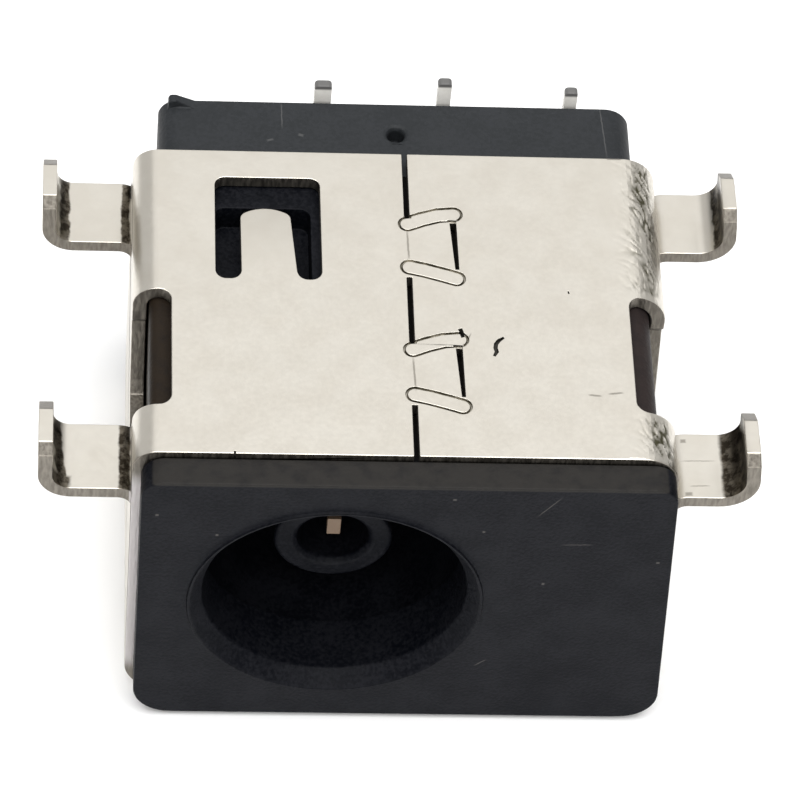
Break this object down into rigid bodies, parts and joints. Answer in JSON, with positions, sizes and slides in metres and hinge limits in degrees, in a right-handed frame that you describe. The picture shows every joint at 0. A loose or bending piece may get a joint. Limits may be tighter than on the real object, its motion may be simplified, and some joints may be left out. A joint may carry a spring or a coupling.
{
  "type": "dc barrel jack",
  "caption": "Right-angle power socket for a laptop board: moulded bore and centre post in a folded metal shield with soldering legs and pins.",
  "frame": {"origin": "centre of the plug bore on the front face", "axes": "-Y out of the bore's mouth, +X to the right seen from the plug's side, +Z towards the board's solder side, where the legs and pins point"},
  "size_m": [0.0166, 0.0123, 0.0096],
  "materials": {
    "shield_sheet": "warm nickel plate, lightly rubbed",
    "housing_plastic": "black moulded plastic, fine matt grain",
    "cover_plastic": "black moulded plastic, slightly greyer",
    "pin_plating": "tin plate",
    "contact_plating": "gold flash over copper alloy"
  },
  "bodies": {
    "root": {"shield": "shield_sheet", "housing": "housing_plastic", "rear_cover": "cover_plastic", "barrel_contact": "pin_plating", "sleeve_contact": "pin_plating", "centre_contact": "contact_plating"}
  },
  "joints": []
}
